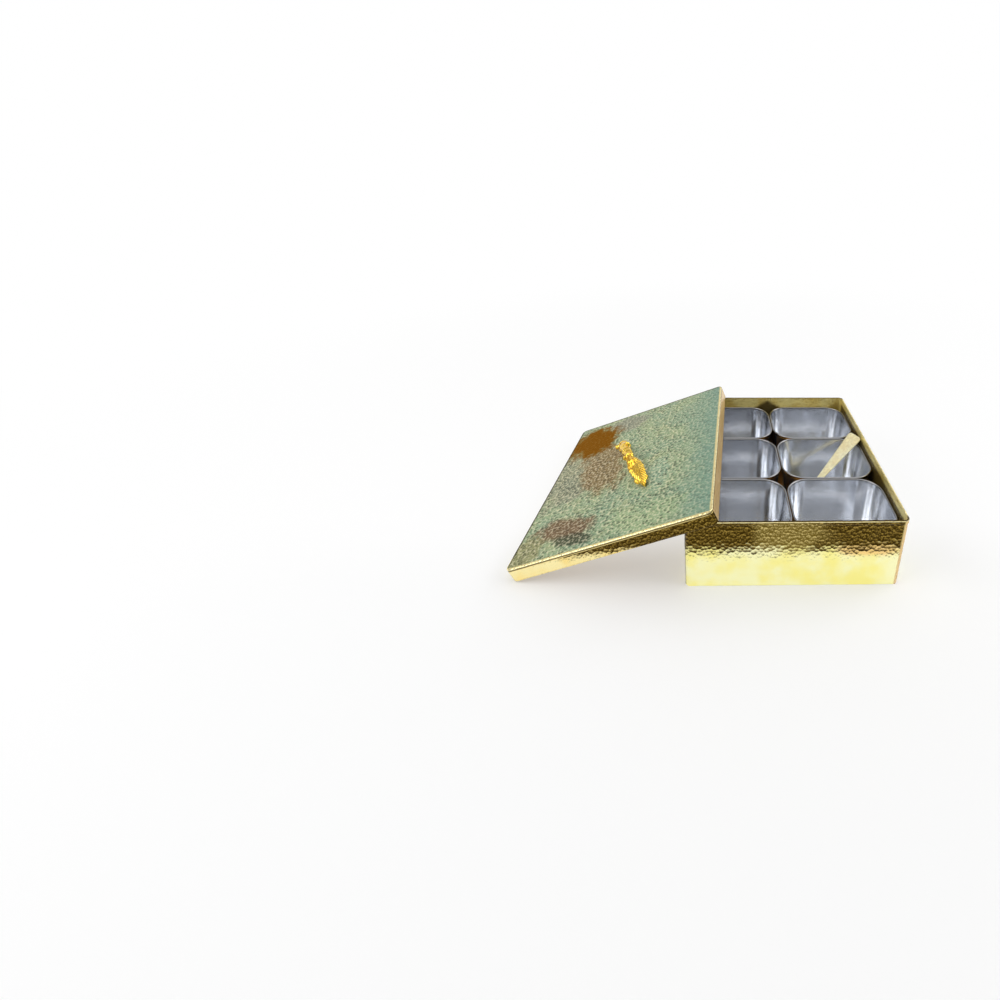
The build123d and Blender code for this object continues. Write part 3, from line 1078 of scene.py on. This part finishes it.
def mark_hollows(mesh):
    """Writes onto each point how deep it lies among its neighbours, for painted shade in its hollows
    """
    depth = [0.0] * len(mesh.vertices)
    count = [0] * len(mesh.vertices)
    for edge in mesh.edges:
        one, two = (mesh.vertices[i] for i in edge.vertices)
        way = (two.co - one.co).normalized()
        depth[one.index] += one.normal.dot(way)
        depth[two.index] -= two.normal.dot(way)
        count[one.index] += 1
        count[two.index] += 1
    values = [0.5 + d / max(1, c) for d, c in zip(depth, count)]
    mesh.attributes.new("hollow", "FLOAT", "POINT").data.foreach_set("value", values)
    print("hollows from", round(min(values), 2), "to", round(max(values), 2))


carve(handle_mesh)
mark_hollows(handle_mesh)
handle_mesh.polygons.foreach_set("use_smooth", [True] * len(handle_mesh.polygons))


# %% Cast metal
def cast_brass(name):
    """Deep yellow cast brass with brown painted shade and a rougher surface in its hollows"""
    shader = Shader(name)
    at = shader.place("Object")
    grain = shader.noise(at, 420.0, 4.0, 0.65)
    clouds = shader.noise(at, 60.0, 2.0)
    hollow = shader.node("Attribute", "Fac", {"attribute_name": "hollow"})
    # Brown painted shade in the hollows, which are also rougher
    hollow_shade = (hollow + (grain - 0.5) * 0.1).step(0.5, 0.62)
    base = shader.mix(clouds.step(0.3, 0.7), (252, 212, 92), (238, 186, 60))
    base = shader.mix(hollow_shade * 0.8, base, (120, 76, 14))
    rough = 0.13 + grain * 0.12 + hollow_shade * 0.2
    fine = shader.bump(grain, 0.12 * MM)
    return shader.finish(Base_Color=base, Metallic=1.0, Roughness=rough, Normal=fine)


on_lid = lid_place @ Matrix.Translation((0, 0, lid_depth)) @ Matrix.Rotation(handle_turn, 4, "Z")
into_place(handle_mesh, on_lid)
dress("lid_handle_carved", handle_mesh, "lid", "lid_handle", cast_brass("cast_brass"))

# %% [markdown]
# ## The spoon
# The spoon is beaten from one strip: a round scoop, a narrow neck, and a flat handle that widens to
# a blunt end.
# It stands in the middle right-hand bowl and leans over the rim's back corner.
# Cross-sections at many distances from its tip are laid side by side and sewn together.

# %% Spoon outline
spoon_length, spoon_thick, scoop_size, scoop_dip = 105.0, 1.3, 26.0, 4.5
neck, neck_from, end_round, edge_round = 2.4, scoop_size - 1.2, 4.0, 0.28
half_scoop = scoop_size / 2
scoop_ball = (half_scoop ** 2 + scoop_dip ** 2) / (2 * scoop_dip)
columns = 14


def spoon_half_width(x):
    """Half the width at a distance from the tip"""
    if x < neck_from:
        round_side = sqrt(max(0.0, half_scoop ** 2 - (x - half_scoop) ** 2))
        return max(round_side, neck if x > half_scoop else 0.0)
    wide = neck + 7.25 * ((x - neck_from) / (spoon_length - neck_from))
    from_end = spoon_length - x
    if from_end < end_round:
        wide -= end_round - sqrt(max(0.0, end_round ** 2 - (end_round - from_end) ** 2))
    return wide


def spoon_stops():
    """Distances from the tip, close together where the outline turns"""
    stops = [half_scoop - half_scoop * cos(pi * i / 28) for i in range(27)]
    stops += [scoop_size - 1.0 + i * 1.6 for i in range(49)]
    stops = [x for x in stops if x < spoon_length - end_round]
    stops += [spoon_length - end_round * (1 - sin(pi / 2 * i / 8)) - 0.001 for i in range(9)]
    stops[0] = 0.02
    return stops


print("spoon in", len(spoon_stops()), "cross-sections")


# %% Spoon mesh
def spoon_section(x):
    """Pairs of an upper and a lower point across the spoon, at a distance from its tip"""
    section = []
    for j in range(columns + 1):
        side = 2 * j / columns - 1
        y = spoon_half_width(x) * side
        radial = sqrt((x - half_scoop) ** 2 + y ** 2)
        dip = 0.0
        if radial < half_scoop:
            dip = sqrt(max(0.0, scoop_ball ** 2 - radial ** 2)) - (scoop_ball - scoop_dip)
        edge = edge_round * (1 - abs(side) ** 6)
        dent = 0.1 * abs(noise.noise(Vector((x * 0.25, y * 0.3, 5.0))))
        section.append(((x, y, spoon_thick - edge_round + edge - dip - dent),
                        (x, y, edge_round - edge - dip + dent * 0.3)))
    return section


def spoon_mesh():
    """Top and bottom sheets of the spoon, sewn along the edge"""
    bm = bmesh.new()
    rows = []
    for x in spoon_stops():
        pairs = [(bm.verts.new(top), bm.verts.new(low)) for top, low in spoon_section(x)]
        rows.append(tuple(zip(*pairs)))
    for (up0, low0), (up1, low1) in zip(rows, rows[1:]):
        sew(bm, up0, up1)
        sew(bm, low0, low1)
        for end in (0, -1):
            bm.faces.new((up0[end], low0[end], low1[end], up1[end]))
    for upper, lower in (rows[0], rows[-1]):
        sew(bm, upper, lower)
    return mesh_of(bm, "spoon_beaten")


spoon_place = (Matrix.Translation((26.55, -5.5, 2.3)) @ Matrix.Rotation(radians(29.5), 4, "Z")
               @ Matrix.Rotation(radians(-40.413), 4, "Y"))
spoon = into_place(spoon_mesh(), spoon_place)
print("spoon mesh with", len(spoon.vertices), "points")


# %% Spoon metal
def pale_brass(name):
    """Pale brass with small beaten marks, duller than the box"""
    shader = Shader(name)
    at = shader.place("Object")
    marks = shader.node("TexVoronoi", "Distance", {"feature": "F1"}, Vector=at, Scale=360.0,
                        Randomness=0.9).power(2.0)
    grain = shader.noise(at, 900.0, 3.0, 0.7)
    clouds = shader.noise(at, 70.0, 3.0)
    base = shader.mix(clouds.step(0.3, 0.7), (255, 252, 214), (255, 242, 190))
    base = shader.mix((grain + (1.0 - marks) * 0.3).step(0.6, 0.8) * 0.4, base, (184, 158, 98))
    fine = shader.bump(grain, 0.05 * MM, under=shader.bump(marks, 0.3 * MM))
    return shader.finish(Base_Color=base, Metallic=0.15, Roughness=0.34 + grain * 0.14, Normal=fine)


dress("spoon_beaten", spoon, "spoon", "spoon", pale_brass("pale_brass"))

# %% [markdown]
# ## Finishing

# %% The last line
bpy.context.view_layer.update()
